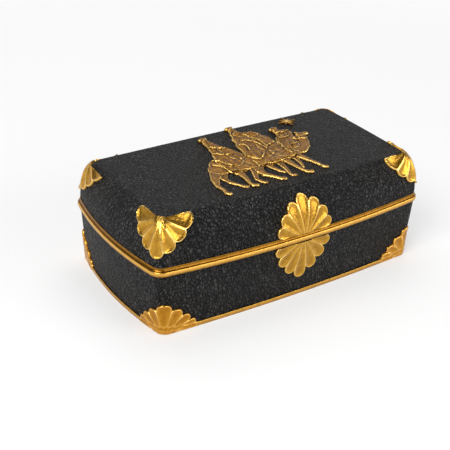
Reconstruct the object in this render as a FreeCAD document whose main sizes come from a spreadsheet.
import FreeCAD, Part
import Sketcher
import math
import os
from FreeCAD import Placement, Rotation
from FreeCAD import Vector as V

# Leather-covered music box with gilt mounts, in millimetres.
# X runs along the front from left to right, Y from front to back, Z up.
# The origin is the middle of the underside of the case.

# Driving dimensions, each with the alias that it has in the sheet
SIZES = [
    ("parting_half_length", 131.8, "case outline where case and lid meet, centre to end at a corner"),
    ("parting_half_width", 67.8, "the same outline, centre to front at a corner"),
    ("parting_bow_front", 8.9, "how far the front and back swell past their corners there"),
    ("parting_bow_end", 8.2, "how far the ends swell past their corners there"),
    ("foot_inset_end", 4.8, "how much shorter each half of the case is at the floor"),
    ("foot_spread_front", 0.8, "how much wider each half of the case is at the floor"),
    ("foot_bow_front", 4.2, "swell of the front and back at the floor"),
    ("foot_bow_end", 8.3, "swell of the ends at the floor"),
    ("crown_inset_end", 8.5, "how much shorter each half of the lid is at its flat top"),
    ("crown_inset_front", 11.6, "how much narrower each half of the lid is at its flat top"),
    ("crown_bow_front", 0.8, "swell of the flat top's long edges"),
    ("crown_bow_end", 0.9, "swell of the flat top's short edges"),
    ("corner_radius", 6.5, "rounding of the upright leather corners"),
    ("crown_corner_radius", 7.0, "rounding of the flat top's corners"),
    ("parting_height", 55.0, "floor to the underside of the lid"),
    ("parting_gap", 0.4, "shadow line between case and lid"),
    ("lid_height", 43.0, "underside of the lid to its flat top"),
    ("shoulder_roundness", 0.94, "share of a quarter ellipse used by the lid's swelling side"),
    ("leather_thickness", 1.2, "leather skin"),
    ("leather_lift", 0.4, "leather's lower edge above the floor"),
    ("end_wall", 7.8, "wood of the case's ends at the foot of a corner"),
    ("front_wall", 6.6, "wood of the case's front and back at the top of a corner"),
    ("lid_wall", 10.1, "wood of the lid's front and back at the foot of a corner"),
    ("lid_ceiling", 9.8, "wood of the lid's top"),
    ("trim_height", 3.8, "gilt strip round the foot"),
    ("trim_proud", 1.1, "how far the strip stands off the leather"),
    ("trim_gap", 0.1, "glue line under the strip and the rim moulding"),
    ("rim_height", 7.4, "gilt moulding round the lid's edge"),
    ("rim_bead_height", 4.6, "height of the moulding's round bead"),
    ("rim_proud", 2.6, "how far the bead stands off the leather"),
    ("rim_lip", 0.45, "how far the moulding's upper edge stands off the leather"),
    ("rim_corner_radius", 11.5, "rounding of the moulding's corners"),
    ("mount_gap", 0.3, "glue line under a gilt mount, at its bends"),
    ("mount_thickness", 1.7, "metal of a gilt mount"),
    ("foot_mount_thickness", 2.4, "metal of the case's corner mounts"),
    ("crown_lap", 0.7, "how far the lid's mounts stand above its flat top"),
    ("relief_thickness", 3.5, "gilt figures on the lid"),
    ("relief_gap", 0.1, "glue line under the gilt figures"),
    ("board_gap", 0.1, "gap round the loose boards"),
    ("seat_gap", 0.05, "glue line under what stands on a board or plate"),
    ("deck_thickness", 4.0, "inner floor board"),
    ("bottom_board_thickness", 3.0, "bottom board"),
    ("cleat_width", 8.0, "glue cleats between the two boards"),
    ("key_hole_radius", 24.0, "finger hole round the winding key"),
    ("divider_thickness", 3.0, "wooden dividers"),
    ("divider_drop", 5.1, "top of the case to the top of the dividers"),
    ("divider_inset", 22.0, "mainspring axis to the left face of the cross divider"),
    ("short_divider_inset", 30.0, "mainspring axis to the front face of the short divider"),
    ("lining_thickness", 1.5, "velvet lining"),
    ("lining_lift", 2.0, "underside of the lid to its lining"),
    ("cover_thickness", 1.6, "clear cover over the movement"),
    ("cover_clearance", 1.7, "room between the movement and the top of the dividers"),
    ("cover_grip_radius", 5.0, "finger hole in the clear cover"),
    ("cover_grip_inset", 12.0, "finger hole from the mainspring axis, along the box"),
    ("cover_grip_depth", 10.0, "finger hole from the short divider"),
    ("ledge_width", 3.0, "ledges that carry the clear cover"),
    ("hinge_spacing", 35.0, "middle of the box to the middle of a hinge"),
    ("hinge_width", 24.0, "length of a hinge along its pin"),
    ("hinge_leaf", 1.0, "thickness of a hinge leaf"),
    ("hinge_reach", 17.0, "hinge leaf from its pin into the wall"),
    ("hinge_barrel_radius", 2.0, "outside of the knuckles"),
    ("hinge_pin_radius", 0.9, "hinge pin"),
    ("hinge_pin_head", 0.5, "how far a hinge pin's spread ends stand out"),
    ("hinge_gap", 0.3, "play between knuckles, rim and leaves"),
    ("hinge_screw_radius", 0.8, "hinge screw shank"),
    ("hinge_screw_length", 7.0, "hinge screw"),
    ("hinge_screw_inset", 4.8, "end of a hinge leaf to its nearer screw"),
    ("hinge_screw_reach", 11.6, "hinge pin to the screws"),
    ("running_gap", 0.05, "radial play of a shaft in its bearing or a screw in its hole"),
    ("movement_inset_end", 49.0, "mainspring axis to the inside of the right end"),
    ("movement_inset_back", 30.0, "mainspring axis to the inside of the back"),
    ("bed_thickness", 2.0, "bedplate of the movement"),
    ("bed_border", 2.5, "bedplate beyond the mainspring housing"),
    ("bed_margin", 0.8, "bedplate beyond the comb and the brackets"),
    ("bed_screw_radius", 1.4, "screws that hold the bedplate"),
    ("bed_screw_head", 1.4, "height of their heads"),
    ("bed_screw_inset", 4.0, "these screws from the bedplate's edges"),
    ("arbor_radius", 2.0, "winding arbor"),
    ("housing_radius", 12.5, "mainspring housing"),
    ("housing_height", 9.0, "mainspring housing"),
    ("housing_wall", 0.8, "sheet of the mainspring housing"),
    ("spring_ribbon", 0.4, "thickness of the mainspring's ribbon"),
    ("spring_room", 0.3, "play of the mainspring in its housing"),
    ("crown_lift", 0.3, "mainspring housing to the great wheel"),
    ("crown_disc", 1.2, "disc of the great wheel"),
    ("gear_module", 0.5, "teeth of the great wheel and train"),
    ("gear_face", 1.2, "width of a wheel"),
    ("bracket_thickness", 1.2, "brackets that carry the arbors"),
    ("bracket_clearance", 0.5, "mainspring housing to the first bracket"),
    ("bracket_half", 3.0, "a bracket beyond the cylinder's arbor"),
    ("wheel_gap", 0.6, "side room between a wheel and what is beside it"),
    ("drum_gap", 1.0, "side room between the first bracket and the cylinder"),
    ("drum_radius", 6.5, "pinned cylinder"),
    ("drum_length", 19.6, "pinned cylinder"),
    ("drum_arbor_radius", 1.0, "arbor of the cylinder"),
    ("pin_height", 0.5, "pins on the cylinder"),
    ("pin_width", 0.35, "pins on the cylinder"),
    ("comb_gap", 0.15, "comb tips short of the pins' circle"),
    ("comb_thickness", 1.0, "steel comb"),
    ("comb_tooth_length", 10.5, "longest comb tooth"),
    ("comb_tooth_fall", 0.22, "how much shorter each tooth is than the one before"),
    ("comb_root", 6.0, "solid back of the comb"),
    ("comb_slot", 0.25, "saw cut between two teeth"),
    ("comb_pitch", 1.05, "tooth to tooth along the comb"),
    ("comb_screw_radius", 0.9, "screws that hold the comb"),
    ("comb_screw_head", 1.0, "height of their heads"),
    ("comb_screw_length", 5.0, "these screws below their heads"),
    ("governor_arbor_radius", 0.7, "arbor of the governor"),
    ("worm_module", 0.6, "teeth of the governor wheel and worm"),
    ("worm_radius", 1.7, "pitch radius of the governor worm"),
    ("worm_length", 5.6, "governor worm"),
    ("worm_arbor_radius", 0.6, "arbor of the worm and the air brake"),
    ("worm_wheel_gap", 1.1, "side room beside the governor wheel"),
    ("fly_radius", 4.0, "air brake"),
    ("fly_height", 3.0, "air brake"),
    ("fly_hub_radius", 1.3, "hub of the air brake"),
    ("fly_wing", 0.5, "thickness of the air brake's wings"),
    ("fly_clearance", 0.9, "governor wheel's teeth to the air brake above them"),
    ("frame_clearance", 0.5, "air brake to the arm above it"),
    ("key_sleeve_radius", 3.4, "sleeve of the winding key"),
    ("key_wing_half", 9.0, "wings of the winding key, centre to tip"),
    ("key_wing_thickness", 1.6, "wings of the winding key"),
    ("key_wing_round", 3.0, "rounding of the wings' corners"),
    ("key_grip", 3.0, "wings below the sleeve"),
    ("key_lift", 0.8, "floor to the winding key"),
    ("key_head_gap", 0.6, "inner floor to the winding key"),
    ("key_bore_lift", 6.0, "bottom of the winding key to the end of its arbor"),
    ("plunger_radius", 1.2, "start and stop plunger"),
    ("plunger_inset_end", 14.0, "plunger axis to the inside of the right end"),
    ("plunger_wall_gap", 1.0, "plunger's collar to the back wall"),
    ("plunger_top_gap", 0.3, "closed lid to the plunger"),
    ("plunger_lift", 5.0, "inner floor to the plunger's lower end"),
    ("plunger_travel", 3.0, "rise of the plunger when the lid opens"),
    ("collar_lift", 14.0, "inner floor to the plunger's collar"),
    ("collar_extra", 0.9, "plunger's collar beyond its rod"),
    ("collar_height", 1.2, "plunger's collar"),
    ("guide_half", 3.1, "plunger guide, axis to side"),
    ("guide_front", 2.9, "plunger guide, axis to front"),
    ("guide_height", 4.0, "upper block of the plunger guide"),
    ("guide_clearance", 0.6, "room above the raised collar"),
    ("guide_foot", 2.0, "foot of the plunger guide"),
    ("guide_strap", 0.5, "strap between the guide's foot and its upper block"),
    ("spring_wire", 0.5, "wall of the plunger spring"),
    ("spring_play", 0.3, "plunger to its spring"),
]

# Counts of teeth, and of the flat facets that stand for round stretches that are hidden or small
CROWN_TEETH = 32
PINION_TEETH = 16
DRUM_GEAR_TEETH = 24
GOVERNOR_PINION_TEETH = 12
WORM_WHEEL_TEETH = 16
WORM_STARTS = 4
COMB_TEETH = 18
LONG_FACETS = 10
END_FACETS = 6
CORNER_FACETS = 3
TIP_FACETS = 4
SCREW_SIDES = 8
ROD_SIDES = 12
HOUSING_SIDES = 24
SPRING_TURNS = 4
SPRING_FACETS = 14

doc = FreeCAD.newDocument("MusicBox")
sheet = doc.addObject("Spreadsheet::Sheet", "Sizes")
for row, (alias, value, note) in enumerate(SIZES, 1):
    sheet.set("A%d" % row, alias)
    sheet.set("B%d" % row, str(value))
    sheet.setAlias("B%d" % row, alias)
    sheet.set("C%d" % row, note)
doc.recompute()


class Size:
    """A length with its value and the expression that the document keeps for it."""

    def __init__(self, value, text):
        self.value = float(value)
        self.text = text

    def __float__(self):
        return self.value

    def __add__(self, other):
        other = lift(other)
        return Size(self.value + other.value, "(%s + %s)" % (self.text, other.text))

    def __radd__(self, other):
        return lift(other) + self

    def __sub__(self, other):
        other = lift(other)
        return Size(self.value - other.value, "(%s - %s)" % (self.text, other.text))

    def __rsub__(self, other):
        return lift(other) - self

    def __mul__(self, other):
        other = lift(other)
        return Size(self.value * other.value, "(%s * %s)" % (self.text, other.text))

    def __rmul__(self, other):
        return lift(other) * self

    def __truediv__(self, other):
        other = lift(other)
        return Size(self.value / other.value, "(%s / %s)" % (self.text, other.text))

    def __neg__(self):
        return Size(-self.value, "(0 - %s)" % self.text)


def lift(number):
    if isinstance(number, Size):
        return number
    return Size(number, repr(float(number)))


class Sheet:
    """The driving dimensions by name."""


s = Sheet()
for alias, value, note in SIZES:
    setattr(s, alias, Size(sheet.get(alias), "Sizes." + alias))

nodes = {}


def node(name, feature):
    feature.Label = name
    nodes[name] = feature
    return feature


def bind(feature, prop, length):
    feature.setExpression(prop, lift(length).text)


def place(feature, x, y, z):
    bind(feature, "Placement.Base.x", x)
    bind(feature, "Placement.Base.y", y)
    bind(feature, "Placement.Base.z", z)
    return feature


# Building blocks bound to the sheet

def box(name, x0, x1, y0, y1, z0, z1):
    feature = doc.addObject("Part::Box", name)
    bind(feature, "Length", lift(x1) - x0)
    bind(feature, "Width", lift(y1) - y0)
    bind(feature, "Height", lift(z1) - z0)
    return place(feature, x0, y0, z0)


def rod(name, radius, x, y, z, length, axis="Z"):
    feature = doc.addObject("Part::Cylinder", name)
    bind(feature, "Radius", radius)
    bind(feature, "Height", length)
    if axis == "X":
        feature.Placement = Placement(V(), Rotation(V(0, 1, 0), 90))
    return place(feature, x, y, z)


def prism(name, radius, x, y, z, length, axis="Z", sides=SCREW_SIDES):
    """A rod with flat sides, which stands for a small round one."""
    feature = doc.addObject("Part::Prism", name)
    feature.Polygon = sides
    bind(feature, "Circumradius", radius)
    bind(feature, "Height", length)
    if axis == "X":
        feature.Placement = Placement(V(), Rotation(V(0, 1, 0), 90))
    return place(feature, x, y, z)


def bore(name, radius, x, y, z, length, axis="Z"):
    """A hole with flat sides, none of them nearer to its axis than the radius."""
    return prism(name, lift(radius) / math.cos(math.pi / ROD_SIDES), x, y, z, length, axis, ROD_SIDES)


def fuse(name, parts):
    feature = doc.addObject("Part::MultiFuse", name)
    feature.Shapes = parts
    feature.Refine = True
    return feature


def cut(name, base, tools):
    feature = doc.addObject("Part::Cut", name)
    feature.Base = base
    feature.Tool = tools[0] if len(tools) == 1 else fuse(name + "_tools", tools)
    return feature


def group(name, parts):
    """Several separate solids that share one node."""
    feature = doc.addObject("Part::Compound", name + "_set")
    feature.Links = parts
    return node(name, feature)


def solid(name, shape):
    feature = doc.addObject("Part::Feature", name)
    feature.Shape = shape
    return feature


def screw(name, x, y, head_z, shank_z, shank_length, radius, head_height, head_share):
    """A round-headed screw; head_z and shank_z are the lower ends of its two parts."""
    return fuse(name, [prism(name + "_head", radius * head_share, x, y, head_z, head_height),
                       prism(name + "_shank", radius, x, y, shank_z, shank_length)])


def origin_plane(body, role):
    return [item for item in body.Origin.OriginFeatures if item.Role == role][0]


def sketch_on(body, role):
    sketch = body.newObject("Sketcher::SketchObject", body.Name + "_sketch")
    sketch.AttachmentSupport = [(origin_plane(body, role), "")]
    sketch.MapMode = "FlatFace"
    return sketch


def dimension(sketch, kind, refs, length):
    number = sketch.addConstraint(Sketcher.Constraint(kind, *refs, float(length)))
    sketch.setExpression("Constraints[%d]" % number, lift(length).text)


def plate(name, x0, x1, y0, y1, z0, z1, holes=()):
    """A padded rectangle with round holes, each (x, y, radius)."""
    body = doc.addObject("PartDesign::Body", name)
    sketch = sketch_on(body, "XY_Plane")
    width = lift(x1) - x0
    depth = lift(y1) - y0
    corners = [(0, 0), (width, 0), (width, depth), (0, depth)]
    corners = [V(float(x), float(y), 0) for x, y in corners]
    for start, end in zip(corners, corners[1:] + corners[:1]):
        sketch.addGeometry(Part.LineSegment(start, end))
    for line in range(4):
        sketch.addConstraint(Sketcher.Constraint("Coincident", line, 2, (line + 1) % 4, 1))
    sketch.addConstraint(Sketcher.Constraint("Coincident", 0, 1, -1, 1))
    for line, kind in enumerate(("Horizontal", "Vertical", "Horizontal", "Vertical")):
        sketch.addConstraint(Sketcher.Constraint(kind, line))
    dimension(sketch, "DistanceX", (0, 1, 0, 2), width)
    dimension(sketch, "DistanceY", (1, 1, 1, 2), depth)
    for x, y, radius in holes:
        across = lift(x) - x0
        along = lift(y) - y0
        centre = V(float(across), float(along), 0)
        ring = sketch.addGeometry(Part.Circle(centre, V(0, 0, 1), float(radius)))
        dimension(sketch, "Radius", (ring,), radius)
        dimension(sketch, "DistanceX", (-1, 1, ring, 3), across)
        dimension(sketch, "DistanceY", (-1, 1, ring, 3), along)
    pad = body.newObject("PartDesign::Pad", name + "_pad")
    pad.Profile = sketch
    bind(pad, "Length", lift(z1) - z0)
    return place(body, x0, y0, z0)


def turned(name, profile, x, y, z):
    """A revolved body about Z from a closed list of (radius, height) points."""
    body = doc.addObject("PartDesign::Body", name)
    sketch = sketch_on(body, "XZ_Plane")
    points = [V(float(radius), float(height), 0) for radius, height in profile]
    for start, end in zip(points, points[1:] + points[:1]):
        sketch.addGeometry(Part.LineSegment(start, end))
    count = len(profile)
    for line in range(count):
        sketch.addConstraint(Sketcher.Constraint("Coincident", line, 2, (line + 1) % count, 1))
    for line, (radius, height) in enumerate(profile):
        if float(radius) == 0:
            sketch.addConstraint(Sketcher.Constraint("PointOnObject", line, 1, -2))
        else:
            dimension(sketch, "DistanceX", (-1, 1, line, 1), radius)
        if float(height) == 0:
            sketch.addConstraint(Sketcher.Constraint("PointOnObject", line, 1, -1))
        else:
            dimension(sketch, "DistanceY", (-1, 1, line, 1), height)
    turn = body.newObject("PartDesign::Revolution", name + "_turn")
    turn.Profile = sketch
    turn.ReferenceAxis = (sketch, ["V_Axis"])
    turn.Angle = 360
    return place(body, x, y, z)


# Plain shapes

def face(points):
    return Part.Face(Part.makePolygon(points + points[:1]))


def block(x0, x1, y0, y1, z0, z1):
    return Part.makeBox(x1 - x0, y1 - y0, z1 - z0, V(x0, y0, z0))


def facet_solid(rings):
    """A solid through rings of equally many points, with two flat triangles for each side."""
    faces = []
    count = len(rings[0])
    for low, high in zip(rings, rings[1:]):
        for index in range(count):
            after = (index + 1) % count
            faces.append(face([low[index], low[after], high[after]]))
            faces.append(face([low[index], high[after], high[index]]))
    faces += [face(rings[0]), face(rings[-1])]
    shell = Part.makeShell(faces)
    shell.sewShape()
    whole = Part.makeSolid(shell)
    if whole.Volume < 0:
        whole.reverse()
    return whole


# Outlines of the box: half length, half width, bow of the front, bow of the ends, corner radius

def parting_line():
    return [float(size) for size in (s.parting_half_length, s.parting_half_width,
                                     s.parting_bow_front, s.parting_bow_end, s.corner_radius)]


def foot_line():
    return [float(size) for size in (foot_half_length, foot_half_width,
                                     s.foot_bow_front, s.foot_bow_end, s.corner_radius)]


def crown_line():
    return [float(size) for size in (crown_half_length, crown_half_width,
                                     s.crown_bow_front, s.crown_bow_end, s.crown_corner_radius)]


def between(low, high, share):
    return [a + (b - a) * share for a, b in zip(low, high)]


def quarter(line, outset):
    """Centres and radii of the arcs that meet in the first quarter: front, end and corner."""
    half_length, half_width, bow_front, bow_end, radius = line
    half_length += outset
    half_width += outset
    radius += outset
    front_radius = (half_length ** 2 + bow_front ** 2) / (2 * bow_front)
    end_radius = (half_width ** 2 + bow_end ** 2) / (2 * bow_end)
    front = V(0, half_width + bow_front - front_radius, 0)
    end = V(half_length + bow_end - end_radius, 0, 0)
    apart = end - front
    near = front_radius - radius
    far = end_radius - radius
    along = (near ** 2 - far ** 2 + apart.Length ** 2) / (2 * apart.Length)
    aside = math.sqrt(near ** 2 - along ** 2)
    unit = V(apart).normalize()
    corner = front + unit * along + V(unit.y, -unit.x, 0) * aside
    return (front, front_radius), (end, end_radius), (corner, radius)


def outline(line, outset, height):
    """The swelling rectangle as a closed wire of eight arcs."""
    (front, front_radius), (end, end_radius), (corner, radius) = quarter(line, outset)
    front_touch = corner + (corner - front).normalize() * radius
    end_touch = corner + (corner - end).normalize() * radius
    middle = corner + (front_touch + end_touch - corner * 2).normalize() * radius
    front_mid = V(0, front.y + front_radius, 0)
    end_mid = V(end.x + end_radius, 0, 0)

    def at(point, side_x, side_y):
        return V(point.x * side_x, point.y * side_y, height)

    arcs = []
    for side_x, side_y in ((1, 1), (-1, 1), (-1, -1), (1, -1)):
        if side_x == side_y:
            arcs.append((at(end_touch, side_x, -side_y), at(end_mid, side_x, side_y),
                         at(end_touch, side_x, side_y)))
            arcs.append((at(end_touch, side_x, side_y), at(middle, side_x, side_y),
                         at(front_touch, side_x, side_y)))
        else:
            arcs.append((at(front_touch, -side_x, side_y), at(front_mid, side_x, side_y),
                         at(front_touch, side_x, side_y)))
            arcs.append((at(front_touch, side_x, side_y), at(middle, side_x, side_y),
                         at(end_touch, side_x, side_y)))
    return Part.Wire([Part.Arc(*arc).toShape() for arc in arcs])


def facet_ring(line, outset, height):
    """The same outline drawn with straight facets between points on its arcs."""
    (front, front_radius), (end, end_radius), (corner, radius) = quarter(line, outset)
    front_angle = math.atan2(corner.y - front.y, corner.x - front.x)
    end_angle = math.atan2(corner.y - end.y, corner.x - end.x)
    stretches = [(end, end_radius, 0, end_angle, END_FACETS // 2),
                 (corner, radius, end_angle, front_angle, CORNER_FACETS),
                 (front, front_radius, front_angle, math.pi / 2, LONG_FACETS // 2)]
    points = []
    for centre, size, start, stop, steps in stretches:
        for step in range(steps):
            angle = start + (stop - start) * step / steps
            points.append((centre.x + size * math.cos(angle), centre.y + size * math.sin(angle)))
    half = points + [(0, front.y + front_radius)] + [(-x, y) for x, y in reversed(points[1:])]
    return [V(x, y, height) for x, y in half + [(-x, -y) for x, y in half]]


# Values that several pieces share
foot_half_length = s.parting_half_length - s.foot_inset_end
foot_half_width = s.parting_half_width + s.foot_spread_front
crown_half_length = s.parting_half_length - s.crown_inset_end
crown_half_width = s.parting_half_width - s.crown_inset_front
leather = float(s.leather_thickness)
case_top = s.parting_height - s.parting_gap
lid_top = s.parting_height + s.lid_height
rim_top = s.parting_height + s.rim_height
cavity_x = foot_half_length - s.leather_thickness - s.end_wall
cavity_y = s.parting_half_width - s.leather_thickness - s.front_wall
lid_cavity_y = s.parting_half_width - s.leather_thickness - s.lid_wall
lid_cavity_top = lid_top - s.leather_thickness - s.lid_ceiling
board_x = cavity_x - s.board_gap
board_y = cavity_y - s.board_gap
movement_x = cavity_x - s.movement_inset_end
movement_y = cavity_y - s.movement_inset_back
divider_x = movement_x - s.divider_inset
divider_y = movement_y - s.short_divider_inset
divider_end = divider_x + s.divider_thickness
divider_back = divider_y + s.divider_thickness
divider_top = case_top - s.divider_drop
hinge_y = (s.parting_half_width + s.parting_bow_front + s.rim_proud + s.hinge_gap
           + s.hinge_barrel_radius)
hinge_z = s.parting_height - s.parting_gap / 2
shaft_bore = s.arbor_radius + s.running_gap
mount_in = float(s.mount_gap)
mount_out = float(s.mount_gap + s.mount_thickness)

# Heights of the movement, which hangs below the clear cover and sets the inner floor
mid_pitch = s.gear_module * (CROWN_TEETH / 2)
tooth_up = s.gear_module * 0.9
tooth_down = s.gear_module * 1.2
wheel_radius = s.worm_module * (WORM_WHEEL_TEETH / 2)
worm_tooth_up = s.worm_module * 0.5
worm_tooth_down = s.worm_module * 0.95
pinion_rise = s.housing_height + s.crown_lift + s.crown_disc + tooth_down
axis_rise = s.bed_thickness + pinion_rise + s.gear_module * (PINION_TEETH / 2)
fly_rise = wheel_radius + worm_tooth_up + s.fly_clearance
arm_rise = axis_rise + fly_rise + s.fly_height + s.frame_clearance
deck_top = divider_top - s.cover_clearance - arm_rise - s.bracket_thickness
deck_bottom = deck_top - s.deck_thickness
bed_top = deck_top + s.bed_thickness
housing_top = bed_top + s.housing_height
pitch_height = bed_top + pinion_rise
drum_z = deck_top + axis_rise
fly_low = drum_z + fly_rise
arm_bottom = deck_top + arm_rise

# Places along the movement's arbors, from the mainspring axis
first_bracket_x = s.housing_radius + s.bracket_clearance
drum_start = first_bracket_x + s.bracket_thickness + s.drum_gap
drum_gear_x = drum_start + s.drum_length + s.wheel_gap
second_bracket_x = drum_gear_x + s.gear_face + s.wheel_gap
worm_wheel_x = second_bracket_x + s.bracket_thickness + s.worm_wheel_gap
third_bracket_x = worm_wheel_x + s.gear_face + s.worm_wheel_gap
governor_y = movement_y + s.gear_module * ((DRUM_GEAR_TEETH + GOVERNOR_PINION_TEETH) / 2)
worm_x = movement_x + worm_wheel_x + s.gear_face / 2
worm_y = governor_y + wheel_radius + s.worm_radius
post_y = worm_y + s.fly_radius + s.drum_gap
comb_tip = movement_y - s.drum_radius - s.pin_height - s.comb_gap
comb_back = comb_tip - s.comb_tooth_length - s.comb_root
comb_mid = movement_x + drum_start + s.drum_length / 2
comb_half = s.comb_pitch * (COMB_TEETH / 2)
comb_bottom = drum_z - s.comb_thickness / 2
bed_x0 = movement_x - s.housing_radius - s.bed_border
bed_x1 = movement_x + third_bracket_x + s.bracket_thickness + s.bed_margin
bed_y0 = comb_back - s.bed_margin
bed_y1 = post_y + s.bracket_thickness + s.bed_margin
collar_radius = s.plunger_radius + s.collar_extra
plunger_x = cavity_x - s.plunger_inset_end
plunger_y = cavity_y - s.plunger_wall_gap - collar_radius


# The case and the lid as solids, pushed out by outset

def case_solid(outset, bottom, top):
    wires = []
    for height in (bottom, top):
        wires.append(outline(between(foot_line(), parting_line(), height / float(case_top)), outset, height))
    return Part.makeLoft(wires, True, True)


def case_core(outset, bottom, top):
    rings = []
    for height in (bottom, top):
        line = between(foot_line(), parting_line(), height / float(case_top))
        rings.append(facet_ring(line, outset, height))
    return facet_solid(rings)


SKIN_SHARES = (0, 0.45, 0.75, 0.92, 1)
CORE_SHARES = (0, 0.5, 0.82, 1)


def lid_levels(shares, top_rise):
    """Outline and height of the lid at shares of its rise from the moulding to the flat top."""
    bend = float(s.shoulder_roundness)
    full = 1 - math.sqrt(1 - bend ** 2)
    spring = float(rim_top)
    rise = float(lid_top) + top_rise - spring
    levels = []
    for share in shares:
        inward = (1 - math.sqrt(1 - (bend * share) ** 2)) / full
        levels.append((between(parting_line(), crown_line(), inward), spring + rise * share))
    return levels


def lid_solid(outset, top_rise):
    """The lid: upright behind its rim moulding, then swelling in to the flat top."""
    wires = [outline(parting_line(), outset, float(s.parting_height))]
    wires += [outline(line, outset, height) for line, height in lid_levels(SKIN_SHARES, top_rise)]
    return Part.makeLoft(wires, True, True)


def lid_core(outset, top_rise):
    """The wood inside the lid's leather, drawn with facets."""
    rings = [facet_ring(parting_line(), outset, float(s.parting_height))]
    rings += [facet_ring(line, outset, height) for line, height in lid_levels(CORE_SHARES, top_rise)]
    return facet_solid(rings)


# Hinges: their place is needed by the walls that they are let into
HINGE_SIDES = {"left": -1, "right": 1}
OPEN_AIR = 1.0


def leaf_pocket(name, side, lower):
    """The shallow recess for one leaf, from the hinge's end of the wall to the open air."""
    middle = s.hinge_spacing * side
    half = s.hinge_width / 2 + s.board_gap
    front = hinge_y - s.hinge_reach - s.board_gap
    depth = s.hinge_leaf + s.board_gap
    if lower:
        return box(name, middle - half, middle + half, front, hinge_y, case_top - depth,
                   case_top + OPEN_AIR)
    return box(name, middle - half, middle + half, front, hinge_y, s.parting_height - OPEN_AIR,
               s.parting_height + depth)


def pockets(name, lower):
    return [leaf_pocket("%s_%s" % (name, word), side, lower) for word, side in HINGE_SIDES.items()]


def screw_spots(side):
    """Two screws along each hinge."""
    apart = s.hinge_width / 2 - s.hinge_screw_inset
    middle = s.hinge_spacing * side
    return [(middle - apart, hinge_y - s.hinge_screw_reach), (middle + apart, hinge_y - s.hinge_screw_reach)]


def pilot_holes(name, lower):
    tools = []
    for word, side in HINGE_SIDES.items():
        for index, (x, y) in enumerate(screw_spots(side)):
            start = case_top - s.hinge_screw_length - OPEN_AIR if lower else s.parting_height
            tools.append(prism("%s_%s_%d" % (name, word, index), s.hinge_screw_radius + s.running_gap,
                               x, y, start, s.hinge_screw_length + OPEN_AIR))
    return tools


# Case: wooden walls, leather, foot strip
wall_block = solid("case_wall_block", case_core(-leather, 0.0, float(case_top)))
case_cavity = box("case_cavity", -cavity_x, cavity_x, -cavity_y, cavity_y, -OPEN_AIR, s.parting_height)
node("case_walls", cut("case_walls_shape", wall_block,
                       [case_cavity] + pockets("case_pocket", True) + pilot_holes("case_pilot", True)))

skin = case_solid(0, float(s.leather_lift), float(case_top))
skin = skin.cut(case_core(-leather, 0.0, float(case_top)))
node("case_leather", cut("case_leather_shape", solid("case_leather_skin", skin),
                         pockets("leather_pocket", True)))

strip = case_solid(float(s.trim_proud), 0.0, float(s.trim_height))
strip = strip.cut(case_solid(float(s.trim_gap), 0.0, float(s.trim_height)))
node("foot_strip", solid("foot_strip_ring", strip))

# Boards inside the case
node("bottom_board", plate("bottom_board_body", -board_x, board_x, -board_y, board_y, 0.0,
                           s.bottom_board_thickness, [(movement_x, movement_y, s.key_hole_radius)]))

bed_screws = [(bed_x0 + s.bed_screw_inset, bed_y1 - s.bed_screw_inset),
              (bed_x1 - s.bed_screw_inset, bed_y0 + s.bed_screw_inset),
              (bed_x0 + s.bed_screw_inset, bed_y0 + s.bed_screw_inset)]


def bed_screw_holes(name, low, high):
    return [prism("%s_%d" % (name, index), s.bed_screw_radius + s.running_gap, x, y, low, high - low)
            for index, (x, y) in enumerate(bed_screws)]


floor_board = plate("inner_floor_body", -board_x, board_x, -board_y, board_y, deck_bottom, deck_top)
arbor_hole = bore("floor_arbor_hole", s.arbor_radius * 2, movement_x, movement_y, deck_bottom, s.deck_thickness)
node("inner_floor", cut("inner_floor_shape", floor_board,
                        [arbor_hole] + bed_screw_holes("floor_hole", deck_bottom, deck_top)))

cleat_low = s.bottom_board_thickness + s.seat_gap
cleat_high = deck_bottom - s.seat_gap
group("floor_cleats", [
    box("cleat_front", -board_x, board_x, -board_y, -board_y + s.cleat_width, cleat_low, cleat_high),
    box("cleat_back", -board_x, board_x, board_y - s.cleat_width, board_y, cleat_low, cleat_high)])

board_seat = deck_top + s.seat_gap
node("cross_divider", box("cross_divider_board", divider_x, divider_end, -board_y, board_y,
                          board_seat, divider_top))
node("short_divider", box("short_divider_board", divider_end + s.board_gap, board_x, divider_y,
                          divider_back, board_seat, divider_top))


def tray(name, x0, x1, y0, y1):
    """Velvet lining of one compartment: a floor pad with four thin walls."""
    outer = box(name + "_outer", x0, x1, y0, y1, board_seat, divider_top)
    inner = box(name + "_inner", x0 + s.lining_thickness, x1 - s.lining_thickness,
                y0 + s.lining_thickness, y1 - s.lining_thickness,
                deck_top + s.lining_thickness, divider_top + OPEN_AIR)
    return cut(name + "_shape", outer, [inner])


node("main_lining", tray("main_lining", -board_x, divider_x - s.board_gap, -board_y, board_y))
node("side_lining", tray("side_lining", divider_end + s.board_gap, board_x, -board_y,
                         divider_y - s.board_gap))

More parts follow.
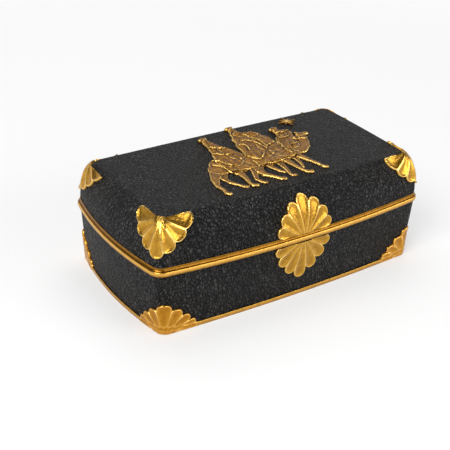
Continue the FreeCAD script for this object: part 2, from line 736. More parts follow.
# Clear cover over the movement, on the dividers and two ledges
cover_top = divider_top + s.cover_thickness
grip = (movement_x - s.cover_grip_inset, divider_y + s.cover_grip_depth, s.cover_grip_radius)
cover = plate("movement_cover_body", divider_end - s.divider_thickness / 2, board_x,
              divider_back - s.divider_thickness / 2, board_y, divider_top + s.seat_gap, cover_top, [grip])
slot_half = s.plunger_radius + s.board_gap
cover_slot = box("cover_slot", plunger_x - slot_half, plunger_x + slot_half, plunger_y - slot_half,
                 board_y + OPEN_AIR, divider_top, cover_top + OPEN_AIR)
node("movement_cover", cut("movement_cover_shape", cover, [cover_slot]))
ledge_low = divider_top - s.ledge_width
group("cover_ledges", [
    box("ledge_end", board_x - s.ledge_width, board_x, divider_back + s.board_gap,
        board_y - s.ledge_width - s.board_gap, ledge_low, divider_top),
    box("ledge_back", divider_end + s.board_gap, plunger_x - s.guide_half - s.plunger_wall_gap,
        board_y - s.ledge_width, board_y, ledge_low, divider_top)])

# Lid: wooden shell, leather, lining
lid_wood = lid_core(-leather, -leather)
lid_cavity = box("lid_cavity", -cavity_x, cavity_x, -lid_cavity_y, lid_cavity_y,
                 s.parting_height - OPEN_AIR, lid_cavity_top)
node("lid_shell", cut("lid_shell_shape", solid("lid_wood_block", lid_wood),
                      [lid_cavity] + pockets("lid_pocket", False) + pilot_holes("lid_pilot", False)))
node("lid_leather", cut("lid_leather_shape", solid("lid_leather_skin", lid_solid(0, 0).cut(lid_wood)),
                        pockets("skin_pocket", False)))

lining_y = lid_cavity_y - s.board_gap
lining_outer = box("lid_lining_outer", -board_x, board_x, -lining_y, lining_y,
                   s.parting_height + s.lining_lift, lid_cavity_top - s.seat_gap)
lining_inner = box("lid_lining_inner", -board_x + s.lining_thickness, board_x - s.lining_thickness,
                   -lining_y + s.lining_thickness, lining_y - s.lining_thickness,
                   s.parting_height, lid_cavity_top - s.lining_thickness)
node("lid_lining", cut("lid_lining_shape", lining_outer, [lining_inner]))

# Rim moulding: a round bead below and a hollow slope above
BEAD_TURN = 75
BEAD_TURNS = (-75, -28, 28, 75)
BEAD_DEPTH = 0.6
SLOPE_SHARES = (0, 0.4, 1)


def rim_loft(levels):
    """A loft round the lid's foot through (outset, height) levels, with the moulding's rounder corners."""
    line = parting_line()
    line[-1] = float(s.rim_corner_radius - s.rim_proud)
    return Part.makeLoft([outline(line, outset, height) for outset, height in levels], True, True)


def rim_solid():
    bottom = float(s.parting_height)
    bead = float(s.rim_bead_height)
    proud = float(s.rim_proud)
    lip = float(s.rim_lip)
    slope = float(s.rim_height) - bead
    edge = math.radians(BEAD_TURN)
    bead_levels = []
    for turn in BEAD_TURNS:
        angle = math.radians(turn)
        bead_levels.append((proud - bead / 2 * BEAD_DEPTH * (1 - math.cos(angle)),
                            bottom + bead / 2 * (1 + math.sin(angle) / math.sin(edge))))
    start = proud - bead / 2 * BEAD_DEPTH * (1 - math.cos(edge))
    slope_levels = [(lip + (start - lip) * (1 - share) ** 2, bottom + bead + slope * share)
                    for share in SLOPE_SHARES]
    moulding = rim_loft(bead_levels).fuse(rim_loft(slope_levels))
    inside = Part.Face(outline(parting_line(), float(s.trim_gap), bottom)).extrude(V(0, 0, bead + slope))
    return moulding.cut(inside)


node("lid_rim", cut("lid_rim_shape", solid("lid_rim_moulding", rim_solid()), pockets("rim_pocket", False)))

# Gilt mounts: fans of petals cut from a thin shell that follows the leather

def petal(root, tip, root_half, tip_half, out, depth):
    """One petal drawn flat from root to tip with a facetted round end, then thickened along out."""
    direction = (tip - root).normalize()
    side = direction.cross(out).normalize()
    centre = tip - direction * tip_half
    points = [root - side * root_half]
    for step in range(TIP_FACETS + 1):
        angle = math.pi * (step / TIP_FACETS - 0.5)
        points.append(centre + side * tip_half * math.sin(angle) + direction * tip_half * math.cos(angle))
    points.append(root + side * root_half)
    return face(points).extrude(out * depth)


def fan(root, tips, root_half, out, depth):
    petals = [petal(root, tip, root_half, half, out, depth) for tip, half in tips]
    return petals[0].multiFuse(petals[1:]).removeSplitter()


def both_sides(petals):
    """Each petal with its mirror image; a middle petal stands once."""
    return petals + [(-across, rise, half) for across, rise, half in petals if across]


def cover_core(outset, top_rise):
    """The lid's facetted outside, for the shells that its mounts are cut from."""
    return facet_solid([facet_ring(line, outset, height) for line, height in lid_levels(SKIN_SHARES, top_rise)])


def mirrored(shape, flip_x, flip_y):
    if flip_x:
        shape = shape.mirror(V(), V(1, 0, 0))
    if flip_y:
        shape = shape.mirror(V(), V(0, 1, 0))
    return shape


lap = float(s.crown_lap)
foot_out = float(s.mount_gap + s.foot_mount_thickness)
lid_cover = cover_core(mount_out, lap).cut(cover_core(mount_in, lap))
case_cover = case_core(foot_out, 0.0, float(case_top))
case_cover = case_cover.cut(case_core(mount_in, 0.0, float(case_top)))
case_cover = case_cover.cut(case_core(float(s.trim_proud) + mount_in, 0.0, float(s.trim_height) + mount_in))

CORNERS = {"front_left": (False, False), "front_right": (True, False),
           "back_left": (False, True), "back_right": (True, True)}
# Petals as (across, share of the way along the wall, half width), and how the fans start
LID_PETALS = [(0.0, 0.857, 4.2), (8.0, 0.744, 4.2), (16.0, 0.534, 4.2), (20.0, 0.267, 4.2)]
CASE_LOBES = [(0.0, 0.522, 5.4), (10.0, 0.394, 3.9), (17.2, 0.256, 3.2), (21.5, 0.137, 2.6)]
LID_ROOT_HALF = 3.0
CASE_ROOT_HALF = 4.0
CORNER_SET = 30.0
CORNER_DEPTH = 60.0
# The plain foot of a case mount as (across, share of the case's height)
FOOT_WEDGE = [(-21.0, 0.0), (21.0, 0.0), (21.0, 0.095), (0.0, 0.22), (-21.0, 0.095)]

OUT = V(-1, -1, 0).normalize()
ACROSS = V(1, -1, 0).normalize()


def corner_fan(petals, root, reach, root_half):
    """The fan of the front left corner, drawn on the upright plane that faces the corner."""
    tips = [(root + ACROSS * across + V(0, 0, reach * share), half) for across, share, half in both_sides(petals)]
    return fan(root, tips, root_half, OUT, CORNER_DEPTH)


lid_root = V(CORNER_SET - float(crown_half_length), CORNER_SET - float(crown_half_width), float(lid_top))
case_root = V(CORNER_SET - float(foot_half_length), CORNER_SET - float(foot_half_width), 0)
lid_fan = corner_fan(LID_PETALS, lid_root, float(rim_top - lid_top), LID_ROOT_HALF)
case_fan = corner_fan(CASE_LOBES, case_root, float(case_top), CASE_ROOT_HALF)
wedge = face([case_root + ACROSS * across + V(0, 0, float(case_top) * share) for across, share in FOOT_WEDGE])
case_fan = case_fan.fuse(wedge.extrude(OUT * CORNER_DEPTH)).removeSplitter()
lid_mount = lid_fan.common(lid_cover)
case_mount = case_fan.common(case_cover)
for corner, (flip_x, flip_y) in CORNERS.items():
    node("lid_mount_" + corner, solid("lid_mount_shape_" + corner, mirrored(lid_mount, flip_x, flip_y)))
    node("case_mount_" + corner, solid("case_mount_shape_" + corner, mirrored(case_mount, flip_x, flip_y)))

# Front palmettes, petals as (across, share of the lid's or the case's height from the parting, half width)
UPPER_PETALS = [(0.0, 0.907, 4.2), (12.5, 0.779, 4.2), (21.5, 0.581, 4.2), (27.0, 0.314, 3.9)]
LOWER_PETALS = [(0.0, 0.670, 4.6), (12.0, 0.542, 4.6), (21.5, 0.350, 4.4), (27.5, 0.103, 4.0)]
UPPER_ROOT_HALF = 4.0
LOWER_ROOT_HALF = 5.0
PALMETTE_HALF = 40.0
ROOT_SHIFT = 3.0


def palmette(petals, root_height, start, reach, root_half, low, high):
    """The petals in front of the box, cut level at low and high."""
    depth = float(s.parting_half_width)
    root = V(0, -depth / 2, root_height)
    tips = [(V(across, root.y, start + reach * share), half) for across, share, half in both_sides(petals)]
    whole = fan(root, tips, root_half, V(0, -1, 0), depth)
    return whole.common(block(-PALMETTE_HALF, PALMETTE_HALF, root.y - depth, root.y, low, high))


upper_fan = palmette(UPPER_PETALS, float(s.parting_height) + ROOT_SHIFT, float(s.parting_height), float(s.lid_height),
                     UPPER_ROOT_HALF, float(rim_top + s.trim_gap), float(lid_top))
node("lid_palmette", solid("lid_palmette_shape", upper_fan.common(lid_cover)))
front_cover = case_core(mount_out, 0.0, float(case_top)).cut(case_core(mount_in, 0.0, float(case_top)))
lower_fan = palmette(LOWER_PETALS, float(case_top) + ROOT_SHIFT, float(case_top), -float(case_top),
                     LOWER_ROOT_HALF, float(s.trim_height), float(case_top - s.mount_gap))
node("case_palmette", solid("case_palmette_shape", lower_fan.common(front_cover)))

# Hinges
screw_head_radius = s.hinge_screw_radius * 2
screw_head_height = s.hinge_leaf / 2
pin_head_radius = s.hinge_pin_radius + s.hinge_pin_head
pin_end = s.hinge_width / 2 + s.hinge_gap + s.hinge_pin_head


def leaf(name, side, lower):
    """One leaf with its knuckles: two outer ones below, the middle one above."""
    middle = s.hinge_spacing * side
    half = s.hinge_width / 2
    sixth = s.hinge_width / 6
    front = hinge_y - s.hinge_reach
    back = hinge_y - s.hinge_barrel_radius - s.hinge_gap
    low = case_top - s.hinge_leaf if lower else s.parting_height
    high = low + s.hinge_leaf
    if lower:
        spans = [(middle - half, middle - sixth - s.hinge_gap / 2),
                 (middle + sixth + s.hinge_gap / 2, middle + half)]
    else:
        spans = [(middle - sixth + s.hinge_gap / 2, middle + sixth - s.hinge_gap / 2)]
    pieces = [box(name + "_plate", middle - half, middle + half, front, back, low, high)]
    for index, (x0, x1) in enumerate(spans):
        pieces.append(box("%s_web_%d" % (name, index), x0, x1, back, hinge_y, low, high))
        pieces.append(prism("%s_knuckle_%d" % (name, index), s.hinge_barrel_radius, x0, hinge_y,
                            hinge_z, x1 - x0, "X", ROD_SIDES))
    tools = [bore(name + "_bore", s.hinge_pin_radius + s.running_gap, middle - half, hinge_y, hinge_z,
                  s.hinge_width, "X")]
    for index, (x, y) in enumerate(screw_spots(side)):
        tools.append(prism("%s_hole_%d" % (name, index), s.hinge_screw_radius + s.running_gap, x, y, low,
                           s.hinge_leaf))
        sink = high - screw_head_height if lower else low
        tools.append(prism("%s_sink_%d" % (name, index), screw_head_radius + s.running_gap, x, y, sink,
                           screw_head_height))
    return cut(name + "_shape", fuse(name + "_whole", pieces), tools)


def hinge_screws(name, lower):
    """Two screws for each hinge, their heads level with the leaf."""
    screws = []
    for word, side in HINGE_SIDES.items():
        for index, (x, y) in enumerate(screw_spots(side)):
            shank = s.hinge_screw_length - screw_head_height
            low = case_top - s.hinge_screw_length if lower else s.parting_height + screw_head_height
            head = case_top - screw_head_height if lower else s.parting_height
            screws.append(screw("%s_%s_%d" % (name, word, index), x, y, head, low, shank,
                                s.hinge_screw_radius, screw_head_height, 2))
    return group(name, screws)


def hinge_pin(word, side):
    """A pin whose two ends are spread over the outer knuckles."""
    middle = s.hinge_spacing * side
    shank = prism("pin_shank_" + word, s.hinge_pin_radius, middle - pin_end, hinge_y, hinge_z,
                  pin_end * 2, "X", ROD_SIDES)
    heads = [prism("pin_head_%s_%d" % (word, index), pin_head_radius, start, hinge_y, hinge_z,
                   s.hinge_pin_head, "X", ROD_SIDES)
             for index, start in enumerate((middle - pin_end, middle + pin_end - s.hinge_pin_head))]
    return fuse("hinge_pin_" + word, [shank] + heads)


group("hinge_leaves_case", [leaf("case_leaf_" + word, side, True) for word, side in HINGE_SIDES.items()])
group("hinge_leaves_lid", [leaf("lid_leaf_" + word, side, False) for word, side in HINGE_SIDES.items()])
group("hinge_pins", [hinge_pin(word, side) for word, side in HINGE_SIDES.items()])
hinge_screws("hinge_screws_case", True)
hinge_screws("hinge_screws_lid", False)

# Movement: bedplate with the comb's block, and what holds it down
bed = plate("bedplate_plate", bed_x0, bed_x1, bed_y0, bed_y1, board_seat, bed_top)
bed_holes = [bore("bed_arbor_hole", shaft_bore, movement_x, movement_y, deck_top, s.bed_thickness)]
bed_holes += bed_screw_holes("bed_hole", deck_top, bed_top)
comb_block = box("comb_block", comb_mid - comb_half, comb_mid + comb_half, comb_back, comb_back + s.comb_root,
                 deck_top + s.bed_thickness / 2, comb_bottom - s.seat_gap)
comb_screw_y = comb_back + s.comb_root / 2
comb_screw_x = [comb_mid + comb_half * share for share in (-0.7, 0, 0.7)]
block_holes = [prism("block_hole_%d" % index, s.comb_screw_radius + s.running_gap, x, comb_screw_y,
                     comb_bottom - s.comb_screw_length, s.comb_screw_length)
               for index, x in enumerate(comb_screw_x)]
node("bedplate", cut("bedplate_shape", fuse("bedplate_whole", [bed, comb_block]), bed_holes + block_holes))

bed_screw_low = deck_bottom - s.seat_gap
group("movement_screws", [
    screw("bed_screw_%d" % index, x, y, bed_screw_low - s.bed_screw_head, bed_screw_low,
          bed_top - bed_screw_low, s.bed_screw_radius, s.bed_screw_head, 1.9)
    for index, (x, y) in enumerate(bed_screws)])

comb_screw_top = comb_bottom + s.comb_thickness + s.seat_gap
group("comb_screws", [
    screw("comb_screw_%d" % index, x, comb_screw_y, comb_screw_top, comb_screw_top - s.comb_screw_length,
          s.comb_screw_length, s.comb_screw_radius, s.comb_screw_head, 1.9)
    for index, x in enumerate(comb_screw_x)])

# Mainspring housing, mainspring, great wheel, arbor and key
housing_height = s.housing_height - s.seat_gap
housing_inside = s.housing_radius - s.housing_wall
housing_at = (movement_x, movement_y)
housing_low = bed_top + s.seat_gap
node("spring_housing", cut("spring_housing_shape", prism(
    "housing_outer", s.housing_radius, *housing_at, housing_low, housing_height, "Z", HOUSING_SIDES), [
        prism("housing_room", housing_inside, *housing_at, housing_low + s.housing_wall,
              housing_height - s.housing_wall * 2, "Z", HOUSING_SIDES),
        bore("housing_bore", shaft_bore, *housing_at, housing_low, housing_height)]))


def mainspring():
    """A flat spiral ribbon between the arbor and the housing wall, drawn with facets."""
    inner = float(s.arbor_radius + s.spring_room + s.spring_ribbon)
    outer = float(housing_inside - s.spring_room - s.spring_ribbon)
    ribbon = float(s.spring_ribbon)
    steps = SPRING_TURNS * SPRING_FACETS
    edges = []
    for offset in (0, ribbon):
        edge = []
        for step in range(steps + 1):
            angle = 2 * math.pi * step / SPRING_FACETS
            radius = inner + offset + (outer - inner) * step / steps
            edge.append(V(radius * math.cos(angle), radius * math.sin(angle), 0))
        edges.append(edge)
    height = float(housing_height - s.housing_wall * 2 - s.spring_room * 2)
    return face(edges[0] + edges[1][::-1]).extrude(V(0, 0, height))


node("mainspring", place(solid("mainspring_ribbon", mainspring()), movement_x, movement_y,
                         bed_top + s.seat_gap + s.housing_wall + s.spring_room))


def polygon_gear(teeth, module, up, down, phase, twist=0.0):
    """Corner points of a spur wheel in the XY plane with straight tapered teeth."""
    pitch_radius = teeth * module / 2
    points = []
    for tooth in range(teeth):
        centre = 2 * math.pi * tooth / teeth + math.radians(phase + twist)
        for rise, side in ((-down, -1), (up, -1), (up, 1), (-down, 1)):
            radius = pitch_radius + rise
            half = TOOTH_SHARE * math.pi * module / 2 - rise * TOOTH_SLOPE
            angle = centre + side * half / radius
            points.append(V(radius * math.cos(angle), radius * math.sin(angle), 0))
    return points


TOOTH_SHARE = 0.38
TOOTH_SLOPE = math.tan(math.radians(20))
module = float(s.gear_module)
gear_face = float(s.gear_face)


def ring_of(count, radius, height):
    """Corner points of a regular polygon round the axis."""
    angles = [2 * math.pi * index / count for index in range(count)]
    return [V(radius * math.cos(angle), radius * math.sin(angle), height) for angle in angles]


def bored(shape, radius):
    """The shape with a hole of ROD_SIDES sides along its axis, for an arbor of this radius."""
    bounds = shape.BoundBox
    hole = ring_of(ROD_SIDES, float(radius) / math.cos(math.pi / ROD_SIDES), bounds.ZMin)
    return shape.cut(face(hole).extrude(V(0, 0, bounds.ZLength)))


def gear_solid(teeth, bore, phase, start):
    points = polygon_gear(teeth, module, float(tooth_up), float(tooth_down), phase)
    wheel = face(points).extrude(V(0, 0, gear_face))
    wheel.translate(V(0, 0, float(start)))
    return bored(wheel, bore)


def lying(name, shape, x, y, z):
    """A solid built along Z from its axis, laid along X at the given point."""
    feature = solid(name, shape)
    feature.Placement = Placement(V(), Rotation(V(0, 1, 0), 90))
    return place(feature, x, y, z)


def crown_wheel():
    """The great wheel: a disc with radial teeth standing on its upper face."""
    up = float(tooth_up)
    down = float(tooth_down)
    disc_height = float(s.crown_disc)
    half_pitch = TOOTH_SHARE * math.pi * module / 2
    disc = face(ring_of(CROWN_TEETH, float(mid_pitch) + gear_face * 0.7, 0)).extrude(V(0, 0, disc_height))
    bottom_half = half_pitch + down * TOOTH_SLOPE
    top_half = half_pitch - up * TOOTH_SLOPE
    profile = [V(0, -bottom_half, 0), V(0, -top_half, up + down), V(0, top_half, up + down), V(0, bottom_half, 0)]
    teeth = []
    for tooth in range(CROWN_TEETH):
        rib = face(profile).extrude(V(gear_face, 0, 0))
        rib.translate(V(float(mid_pitch) - gear_face / 2, 0, disc_height))
        rib.rotate(V(), V(0, 0, 1), (tooth + 0.5) * 360 / CROWN_TEETH)
        teeth.append(rib)
    return bored(disc.multiFuse(teeth), s.arbor_radius)


node("great_wheel", place(solid("great_wheel_shape", crown_wheel()), movement_x, movement_y,
                          housing_top + s.crown_lift))

key_top = deck_bottom - s.key_head_gap
arbor_bottom = s.key_lift + s.key_bore_lift
arbor_top = pitch_height + s.wheel_gap
node("winding_arbor", rod("winding_arbor_rod", s.arbor_radius, movement_x, movement_y, arbor_bottom,
                          arbor_top - arbor_bottom))


def winding_key():
    """A sleeve with two flat rounded wings."""
    height = float(key_top - s.key_lift)
    low = float(s.key_grip)
    reach = float(s.key_wing_half)
    half = float(s.key_wing_thickness) / 2
    sleeve = Part.makeCylinder(float(s.key_sleeve_radius), height - low, V(0, 0, low))
    wing = block(-reach, reach, -half, half, 0, height - float(s.key_head_gap))
    corners = [edge for edge in wing.Edges if edge.Length == edge.BoundBox.YLength]
    whole = sleeve.fuse(wing.makeFillet(float(s.key_wing_round), corners)).removeSplitter()
    bore_depth = float(key_top - arbor_bottom)
    return whole.cut(Part.makeCylinder(float(s.arbor_radius), bore_depth, V(0, 0, height - bore_depth)))


node("winding_key", place(solid("winding_key_shape", winding_key()), movement_x, movement_y, s.key_lift))

# Cylinder with its pins, pinion and train wheel on one arbor
PIN_START = 25
PIN_TRACK_TURN = 67
PIN_BEAT_TURN = 131
PIN_SPREAD = 310


def drum():
    """The cylinder with one or two pins on each track."""
    start = float(drum_start)
    length = float(s.drum_length)
    radius = float(s.drum_radius)
    pitch = float(s.comb_pitch)
    width = float(s.pin_width)
    first = start + length / 2 - pitch * (COMB_TEETH - 1) / 2
    pins = []
    for track in range(COMB_TEETH):
        for beat in range(1 + track % 2):
            pin = block(radius - width, radius + float(s.pin_height), -width / 2, width / 2, -width / 2, width / 2)
            turn = PIN_START + (track * PIN_TRACK_TURN + beat * PIN_BEAT_TURN) % PIN_SPREAD
            pin.rotate(V(), V(0, 0, 1), turn)
            pin.translate(V(0, 0, first + track * pitch))
            pins.append(pin)
    body = bored(Part.makeCylinder(radius, length, V(0, 0, start)), s.drum_arbor_radius)
    return body.multiFuse(pins)


axis_at = (movement_x, movement_y, drum_z)
pinion_x = mid_pitch - s.gear_face / 2
arbor_start = pinion_x - s.wheel_gap
arbor_end = second_bracket_x + s.bracket_thickness + s.wheel_gap / 2
node("cylinder", lying("cylinder_drum", drum(), *axis_at))
group("cylinder_gears", [
    lying("cylinder_pinion", gear_solid(PINION_TEETH, s.drum_arbor_radius, 0, pinion_x), *axis_at),
    lying("cylinder_wheel", gear_solid(DRUM_GEAR_TEETH, s.drum_arbor_radius, 0, drum_gear_x), *axis_at)])
node("cylinder_arbor", rod("cylinder_arbor_rod", s.drum_arbor_radius, movement_x + arbor_start, movement_y,
                           drum_z, arbor_end - arbor_start, "X"))

# Governor: wheel and pinion on one arbor, then the worm with its air brake
lead_slope = float(s.worm_module * (WORM_STARTS / 2) / s.worm_radius)


def worm_wheel():
    """A thin wheel whose teeth lean as the worm's thread does."""
    lean = math.degrees(lead_slope * gear_face / float(wheel_radius))
    rings = []
    for share in (0, 1):
        ring = polygon_gear(WORM_WHEEL_TEETH, float(s.worm_module), float(worm_tooth_up), float(worm_tooth_down),
                            180 / WORM_WHEEL_TEETH, lean * (share - 0.5))
        rings.append([point + V(0, 0, float(worm_wheel_x) + gear_face * share) for point in ring])
    return bored(facet_solid(rings), s.governor_arbor_radius)


governor_at = (movement_x, governor_y, drum_z)
small_pinion = gear_solid(GOVERNOR_PINION_TEETH, s.governor_arbor_radius, 180 / GOVERNOR_PINION_TEETH, drum_gear_x)
group("governor_gears", [lying("governor_pinion", small_pinion, *governor_at),
                         lying("governor_wheel", worm_wheel(), *governor_at)])
governor_start = drum_gear_x - s.wheel_gap / 2
governor_end = third_bracket_x + s.bracket_thickness + s.wheel_gap / 2
node("governor_arbor", rod("governor_arbor_rod", s.governor_arbor_radius, movement_x + governor_start,
                           governor_y, drum_z, governor_end - governor_start, "X"))

arm_top = arm_bottom + s.bracket_thickness
lower_arm_top = drum_z - s.worm_length / 2 - s.wheel_gap
lower_arm_bottom = lower_arm_top - s.bracket_thickness
WORM_STEPS = 6
LOBE_FOOT = 0.42
LOBE_CREST = 0.2


def worm():
    """A many-start worm: a star with one lobe to each start, turned as it rises."""
    length = float(s.worm_length)
    lead = 2 * math.pi * float(s.worm_radius) * lead_slope
    root = float(s.worm_radius - worm_tooth_down)
    tip = float(s.worm_radius + worm_tooth_up)
    rings = []
    for step in range(WORM_STEPS + 1):
        rise = length * (step / WORM_STEPS - 0.5)
        turn = 2 * math.pi * rise / lead - math.pi / 2
        points = []
        for lobe in range(WORM_STARTS):
            centre = turn + 2 * math.pi * lobe / WORM_STARTS
            for radius, half in ((root, -LOBE_FOOT), (tip, -LOBE_CREST), (tip, LOBE_CREST), (root, LOBE_FOOT)):
                points.append(V(radius * math.cos(centre + half), radius * math.sin(centre + half), rise))
        rings.append(points)
    return facet_solid(rings)


def fly():
    """Two thin wings on a hub."""
    reach = float(s.fly_radius)
    half = float(s.fly_wing) / 2
    height = float(s.fly_height)
    hub = Part.makeCylinder(float(s.fly_hub_radius), height)
    return hub.fuse(block(-reach, reach, -half, half, 0, height)).removeSplitter()


worm_body = place(solid("worm_thread", worm()), worm_x, worm_y, drum_z)
fly_body = place(solid("fly_wings", fly()), worm_x, worm_y, fly_low)
worm_arbor_low = lower_arm_bottom + s.wheel_gap / 2
worm_arbor = prism("worm_arbor", s.worm_arbor_radius, worm_x, worm_y, worm_arbor_low,
                   arm_top - s.wheel_gap / 2 - worm_arbor_low)
node("air_brake", fuse("air_brake_whole", [worm_body, fly_body, worm_arbor]))


# Brackets that carry the arbors

def bracket(name, start_x, y0, y1, bores):
    plate_box = box(name + "_plate", movement_x + start_x, movement_x + start_x + s.bracket_thickness,
                    y0, y1, bed_top + s.seat_gap, drum_z + s.bracket_half)
    tools = [bore("%s_bore_%d" % (name, index), radius + s.running_gap, movement_x + start_x, y,
                  drum_z, s.bracket_thickness, "X") for index, (y, radius) in enumerate(bores)]
    return cut(name + "_shape", plate_box, tools)


drum_bearing = (movement_y, s.drum_arbor_radius)
governor_bearing = (governor_y, s.governor_arbor_radius)
governor_half = s.bracket_half * 0.8
post = box("governor_post", worm_x - s.bracket_half, worm_x + s.bracket_half, post_y,
           post_y + s.bracket_thickness, bed_top + s.seat_gap, arm_top)
arms = [box("governor_arm_%d" % index, worm_x - s.bracket_half / 2, worm_x + s.bracket_half / 2,
            worm_y - s.bracket_half / 2, post_y + s.bracket_thickness / 2, low, low + s.bracket_thickness)
        for index, low in enumerate((lower_arm_bottom, arm_bottom))]
worm_bore = bore("governor_frame_bore", s.worm_arbor_radius + s.running_gap, worm_x, worm_y, lower_arm_bottom,
                 arm_top - lower_arm_bottom)
group("bearing_brackets", [
    bracket("first_bracket", first_bracket_x, movement_y - s.bracket_half, movement_y + s.bracket_half,
            [drum_bearing]),
    bracket("second_bracket", second_bracket_x, movement_y - s.bracket_half, governor_y + governor_half,
            [drum_bearing, governor_bearing]),
    bracket("third_bracket", third_bracket_x, governor_y - governor_half, governor_y + governor_half,
            [governor_bearing]),
    cut("governor_frame_shape", fuse("governor_frame_whole", [post] + arms), [worm_bore])])


# Comb: one plate sawn into teeth of falling length, screwed to its block

def comb():
    start = float(comb_mid - comb_half)
    end = float(comb_mid + comb_half)
    pitch = float(s.comb_pitch)
    tip = float(comb_tip)
    low = float(comb_bottom)
    high = low + float(s.comb_thickness)
    saw = float(s.comb_slot)
    tools = []
    for gap in range(1, COMB_TEETH):
        x = start + gap * pitch
        length = float(s.comb_tooth_length) - float(s.comb_tooth_fall) * gap
        tools.append(block(x - saw / 2, x + saw / 2, tip - length, tip, low, high))
    for hole in block_holes:
        drill = hole.Shape.copy()
        drill.translate(V(0, 0, float(s.comb_screw_length)))
        tools.append(drill)
    return block(start, end, float(comb_back), tip, low, high).cut(tools[0].multiFuse(tools[1:]))


doc.recompute()
node("comb", solid("comb_plate", comb()))

# Start and stop plunger beside the back wall
plunger_at = (plunger_x, plunger_y)
plunger_bottom = deck_top + s.plunger_lift
plunger_length = s.parting_height - s.plunger_top_gap - plunger_bottom
node("stop_plunger", fuse("stop_plunger_whole", [
    prism("plunger_rod", s.plunger_radius, *plunger_at, plunger_bottom, plunger_length, "Z", ROD_SIDES),
    prism("plunger_collar", collar_radius, *plunger_at, deck_top + s.collar_lift, s.collar_height, "Z",
          ROD_SIDES)]))
guide_x0 = plunger_x - s.guide_half
guide_x1 = plunger_x + s.guide_half
guide_y0 = plunger_y - s.guide_front
guide_low = deck_top + s.collar_lift + s.collar_height + s.plunger_travel + s.guide_clearance
guide_bore = bore("plunger_bore", s.plunger_radius + s.running_gap, *plunger_at, guide_low, s.guide_height)
guide_blocks = [
    box("plunger_guide_block", guide_x0, guide_x1, guide_y0, board_y, guide_low, guide_low + s.guide_height),
    box("plunger_foot_block", guide_x0, guide_x1, guide_y0, board_y, board_seat, deck_top + s.guide_foot),
    box("plunger_strap", guide_x0, guide_x1, board_y - s.guide_strap, board_y, board_seat,
        guide_low + s.guide_height)]
node("plunger_guide", cut("plunger_guide_shape", fuse("plunger_guide_whole", guide_blocks), [guide_bore]))
spring_bottom = deck_top + s.guide_foot + s.seat_gap
spring_length = deck_top + s.collar_lift - s.seat_gap - spring_bottom
spring_inner = s.plunger_radius + s.spring_play
node("plunger_spring", cut("plunger_spring_shape", prism(
    "plunger_spring_outer", spring_inner + s.spring_wire, *plunger_at, spring_bottom, spring_length, "Z",
    ROD_SIDES), [prism("plunger_spring_inner", spring_inner, *plunger_at, spring_bottom, spring_length, "Z",
                       ROD_SIDES)]))

# Gilt figures on the lid: camels, riders and a star, cut out and laid on the leather.
# Each stroke is a chain of (x, y, half width) points, for a flat top of RELIEF_LENGTH from end to end.
RELIEF_LENGTH = 246.6
BODY_SHARE = 0.75
NECK_SHARE = 0.9
LEG_SHARE = 0.6
CAMELS = [
    ([(-44, -7, 12), (-30, -2, 16), (-10, -6, 14)],
     [(-2, -12, 7), (6, -8, 5), (13, 6, 4.5), (22, 5, 2.6)],
     [[(-49, -14, 7), (-56, -33, 3.2), (-56, -48, 2.4)], [(-44, -16, 5), (-45, -32, 3), (-38, -46, 2.2)],
      [(-27, -16, 4), (-28, -34, 2.6), (-31, -47, 2.2)], [(-14, -16, 5), (-21, -36, 2.8), (-18, -48, 2.4)]]),
    ([(-8, 4, 11), (8, 2, 13), (22, -2, 12)],
     [(30, -8, 6), (38, -4, 4.5), (41, 4, 3.6)],
     [[(-8, -12, 5), (-10, -36, 2.8), (-3, -48, 2.4)], [(3, -12, 4), (1, -31, 2.6), (7, -39, 2)],
      [(13, -12, 5), (11, -36, 2.8), (8, -47, 2.4)], [(20, -10, 5), (22, -36, 2.8), (27, -48, 2.4)]]),
    ([(28, 4, 10), (38, 2, 10), (46, -4, 8)],
     [(50, -6, 5.5), (59, 2, 4), (62, 16, 5), (69, 16, 2.6)],
     [[(30, -10, 4), (29, -30, 2.6), (25, -37, 1.8)], [(37, -10, 4.5), (39, -33, 2.8), (43, -46, 2.4)]])]
RIDERS = [
    [(-20, 8, 13), (-22, 34, 8), (-23, 45, 5.4)],
    [(14, 14, 15), (15, 36, 11.5), (11, 55, 5.4)],
    [(44, 10, 9), (48, 24, 9), (47, 37, 4.6)]]
STAR_CENTRE = (69, 45.5)
STAR_RADII = (8.4, 3.4, 6.4, 3.4)
STAR_POINTS = 8
STROKE_END = 3

figure_bottom = float(lid_top + s.relief_gap)
figure_height = float(s.relief_thickness)
figure_scale = float(crown_half_length) * 2 / RELIEF_LENGTH


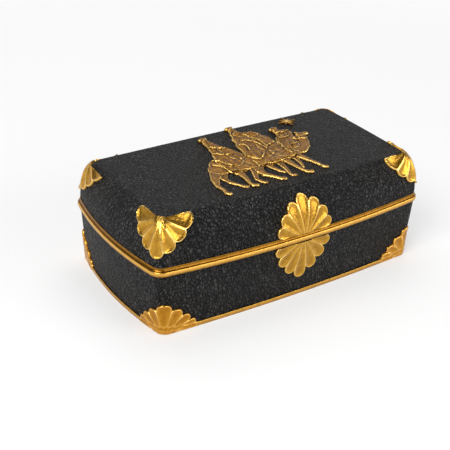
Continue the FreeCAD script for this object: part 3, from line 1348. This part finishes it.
def on_lid(x, y):
    return V(x * figure_scale, y * figure_scale, figure_bottom)


def stroke(points, share):
    """A tapering limb as a chain of wedges with facetted round ends."""
    pieces = []
    for (x0, y0, r0), (x1, y1, r1) in zip(points, points[1:]):
        heading = math.atan2(y1 - y0, x1 - x0)
        lean = math.acos((r0 - r1) / math.hypot(x1 - x0, y1 - y0))
        outline_points = []
        for x, y, radius, start, sweep in ((x1, y1, r1, heading - lean, 2 * lean),
                                           (x0, y0, r0, heading + lean, 2 * (math.pi - lean))):
            for step in range(STROKE_END + 1):
                angle = start + sweep * step / STROKE_END
                outline_points.append(on_lid(x + radius * math.cos(angle), y + radius * math.sin(angle)))
        pieces.append(face(outline_points).extrude(V(0, 0, figure_height * share)))
    return pieces


def caravan():
    pieces = []
    for body, neck, legs in CAMELS:
        pieces += stroke(body, BODY_SHARE) + stroke(neck, NECK_SHARE)
        for leg in legs:
            pieces += stroke(leg, LEG_SHARE)
    for rider in RIDERS:
        pieces += stroke(rider, 1)
    return pieces[0].multiFuse(pieces[1:]).removeSplitter()


def star():
    points = []
    for tip in range(STAR_POINTS * 2):
        radius = STAR_RADII[tip % len(STAR_RADII)]
        angle = math.pi * tip / STAR_POINTS
        points.append(on_lid(STAR_CENTRE[0] + radius * math.cos(angle), STAR_CENTRE[1] + radius * math.sin(angle)))
    return face(points).extrude(V(0, 0, figure_height * LEG_SHARE))


node("caravan_relief", solid("caravan_shape", caravan()))
node("star_relief", solid("star_shape", star()))


# Check every object, then write one file for each piece
doc.recompute()
faults = []
for item in doc.Objects:
    if "Invalid" in item.State or "Error" in item.State:
        faults.append("%s is %s" % (item.Name, item.State))
for name, item in nodes.items():
    shape = item.Shape
    if shape.isNull() or not shape.isValid() or shape.Volume <= 0:
        faults.append("%s has no valid solid" % name)
if faults:
    raise RuntimeError("; ".join(faults))

os.makedirs("parts", exist_ok=True)
for name, item in nodes.items():
    item.Shape.exportStep("parts/%s.step" % name)
print("%d pieces written" % len(nodes))
